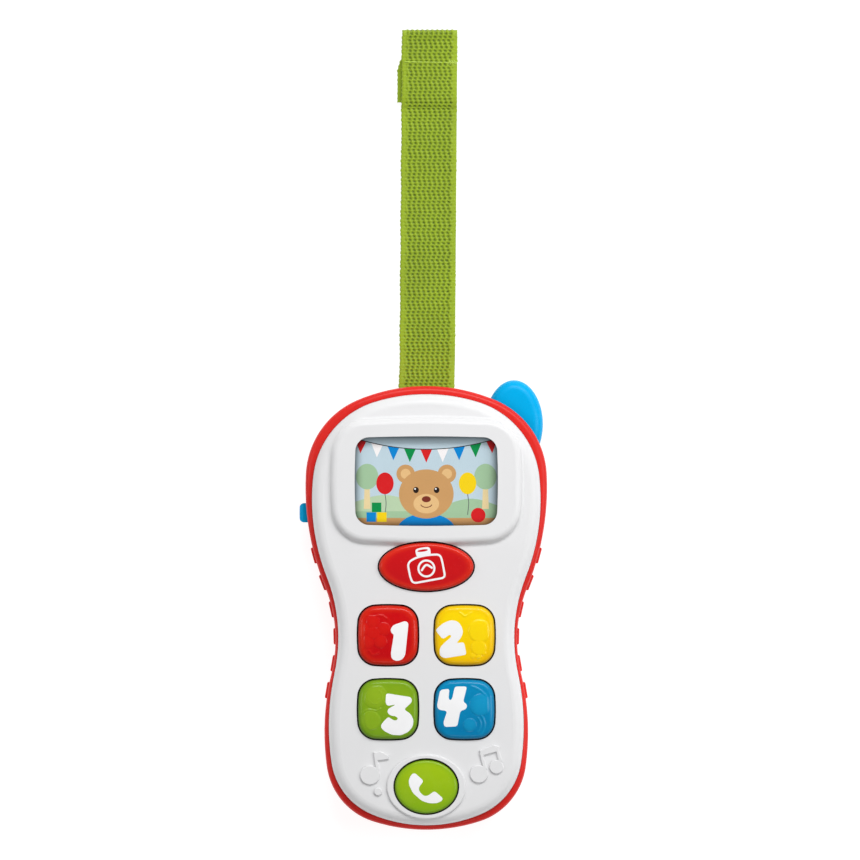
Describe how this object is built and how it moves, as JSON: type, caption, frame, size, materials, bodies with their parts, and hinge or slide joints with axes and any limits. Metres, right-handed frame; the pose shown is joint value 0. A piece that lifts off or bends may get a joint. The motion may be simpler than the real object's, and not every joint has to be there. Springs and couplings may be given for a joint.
{
  "type": "toy cell phone",
  "caption": "Chunky toy phone with a waisted red and white case, picture screen, coloured press keys, side switch, soft antenna and a flat webbing strap.",
  "frame": {"origin": "on the flat back of the case, in the middle of its width and length", "axes": "+X to the right seen from the front, +Y to the top end with the strap, +Z out of the front face"},
  "size_m": [0.0888, 0.2875, 0.0303],
  "materials": {
    "red_shell": "gloss",
    "white_shell": "satin gloss",
    "clear_lens": "clear gloss",
    "printed_card": "printed",
    "milky_plastic": "translucent",
    "led_plastic": "clear",
    "red_key": "gloss",
    "red_clear_key": "translucent gloss",
    "yellow_clear_key": "translucent gloss",
    "green_clear_key": "translucent gloss",
    "blue_clear_key": "translucent gloss",
    "green_key": "gloss",
    "blue_plastic": "satin",
    "blue_soft": "satin",
    "grey_rubber": "matte",
    "board_laminate": "solder mask",
    "black_epoxy": "matte",
    "part_brown": "mixed",
    "zinc_steel": "zinc plated",
    "spring_steel": "nickel plated",
    "black_plastic": "matte",
    "speaker_steel": "black",
    "magnet_ferrite": "ground",
    "speaker_paper": "pulp",
    "black_cloth": "felt",
    "battery_jacket": "wrapped",
    "wire_red": "pvc",
    "wire_black": "pvc",
    "green_webbing": "woven"
  },
  "bodies": {
    "case": {"rear_cover": "red_shell", "front_cover": "white_shell", "screen_lens": "clear_lens", "screen_picture": "printed_card", "screen_diffuser": "milky_plastic", "light_box": "milky_plastic", "screen_leds": "led_plastic", "keypad_mat": "grey_rubber", "circuit_board": "board_laminate", "sound_chip": "black_epoxy", "board_components": "part_brown", "board_screws": "zinc_steel", "case_screws": "zinc_steel", "slide_switch": "spring_steel", "antenna": "blue_soft", "speaker_cloth": "black_cloth", "speaker_frame": "speaker_steel", "speaker_cone": "speaker_paper", "speaker_magnet": "magnet_ferrite", "batteries": "battery_jacket", "contact_plates": "spring_steel", "battery_springs": "spring_steel", "strap_pin": "zinc_steel", "battery_wire_red": "wire_red", "battery_wire_black": "wire_black", "speaker_wires": "wire_black"},
    "camera_key": {"camera_button": "red_key"},
    "number_key_1": {"number_button_1": "red_clear_key"},
    "number_key_2": {"number_button_2": "yellow_clear_key"},
    "number_key_3": {"number_button_3": "green_clear_key"},
    "number_key_4": {"number_button_4": "blue_clear_key"},
    "call_key": {"call_button": "green_key"},
    "side_switch": {"switch_knob": "blue_plastic", "switch_slider": "black_plastic"},
    "door": {"battery_door": "red_shell"},
    "captive_screw": {"door_screw": "zinc_steel", "screw_retainer": "spring_steel"},
    "strap": {"strap": "green_webbing"}
  },
  "joints": [
    {"name": "camera_key_press", "type": "slide", "parent": "case", "child": "camera_key", "axis": [0, 0, -1], "range_m": [0, 0.0015], "stiffness_N_per_m": 700, "springref_m": -0.0004, "deforming": ["keypad_mat"]},
    {"name": "number_key_1_press", "type": "slide", "parent": "case", "child": "number_key_1", "axis": [0, 0, -1], "range_m": [0, 0.0015], "stiffness_N_per_m": 700, "springref_m": -0.0004, "deforming": ["keypad_mat"]},
    {"name": "number_key_2_press", "type": "slide", "parent": "case", "child": "number_key_2", "axis": [0, 0, -1], "range_m": [0, 0.0015], "stiffness_N_per_m": 700, "springref_m": -0.0004, "deforming": ["keypad_mat"]},
    {"name": "number_key_3_press", "type": "slide", "parent": "case", "child": "number_key_3", "axis": [0, 0, -1], "range_m": [0, 0.0015], "stiffness_N_per_m": 700, "springref_m": -0.0004, "deforming": ["keypad_mat"]},
    {"name": "number_key_4_press", "type": "slide", "parent": "case", "child": "number_key_4", "axis": [0, 0, -1], "range_m": [0, 0.0015], "stiffness_N_per_m": 700, "springref_m": -0.0004, "deforming": ["keypad_mat"]},
    {"name": "call_key_press", "type": "slide", "parent": "case", "child": "call_key", "axis": [0, 0, -1], "range_m": [0, 0.0015], "stiffness_N_per_m": 700, "springref_m": -0.0004, "deforming": ["keypad_mat"]},
    {"name": "side_switch_slide", "type": "slide", "parent": "case", "child": "side_switch", "axis": [0, 1, 0], "range_m": [0, 0.004]},
    {"name": "battery_door_hinge", "type": "hinge", "parent": "case", "child": "door", "pos_m": [0, -0.06495, 0.0014], "axis": [-1, 0, 0], "range_deg": [0, 60]},
    {"name": "door_screw_turn", "type": "hinge", "parent": "door", "child": "captive_screw", "pos_m": [0, -0.0065, 0.0015], "axis": [0, 0, 1], "continuous": true},
    {"name": "strap_swing", "type": "hinge", "parent": "case", "child": "strap", "pos_m": [0, 0.0723, 0.0033], "axis": [1, 0, 0], "range_deg": [-95, 30]}
  ]
}
